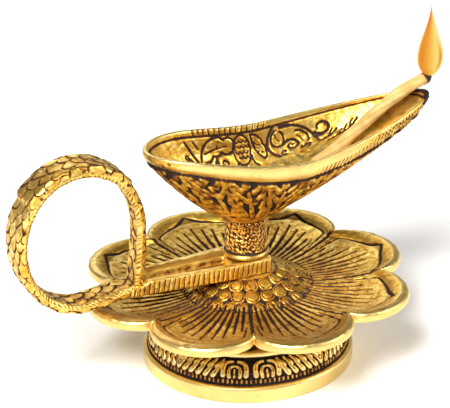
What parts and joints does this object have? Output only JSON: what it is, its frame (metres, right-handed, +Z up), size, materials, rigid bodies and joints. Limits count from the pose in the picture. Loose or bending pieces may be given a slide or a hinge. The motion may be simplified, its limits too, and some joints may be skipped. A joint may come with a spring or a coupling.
{
  "type": "diya oil lamp",
  "caption": "Cast brass oil lamp: boat-shaped bowl with spout and cotton wick on a collared stem, over a lotus plate with a snake finger loop and round hollow foot.",
  "frame": {"origin": "on the standing surface, at the centre of the plan box of the whole lamp", "axes": "+Z up, +X along the bowl towards the spout, -X towards the finger loop"},
  "size_m": [0.1802, 0.1308, 0.1042],
  "materials": {
    "gold_brass": "cast, chased and gold plated, polished on the high spots, black-brown patina in the grooves",
    "fastener_steel": "zinc plated",
    "cotton": "rolled cotton soaked with oil, charred at the tip"
  },
  "bodies": {
    "lamp": {"foot": "gold_brass", "lotus_plate": "gold_brass", "snake_handle": "gold_brass", "stem_collar": "gold_brass", "oil_bowl": "gold_brass", "tie_bolt": "fastener_steel", "flat_washer": "fastener_steel", "lock_washer": "fastener_steel"},
    "wick_body": {"wick": "cotton"}
  },
  "joints": [
    {"name": "wick_slide", "type": "slide", "parent": "lamp", "child": "wick_body", "axis": [0.8752, 0.0248, 0.4831], "range_m": [0, 0.045]}
  ]
}
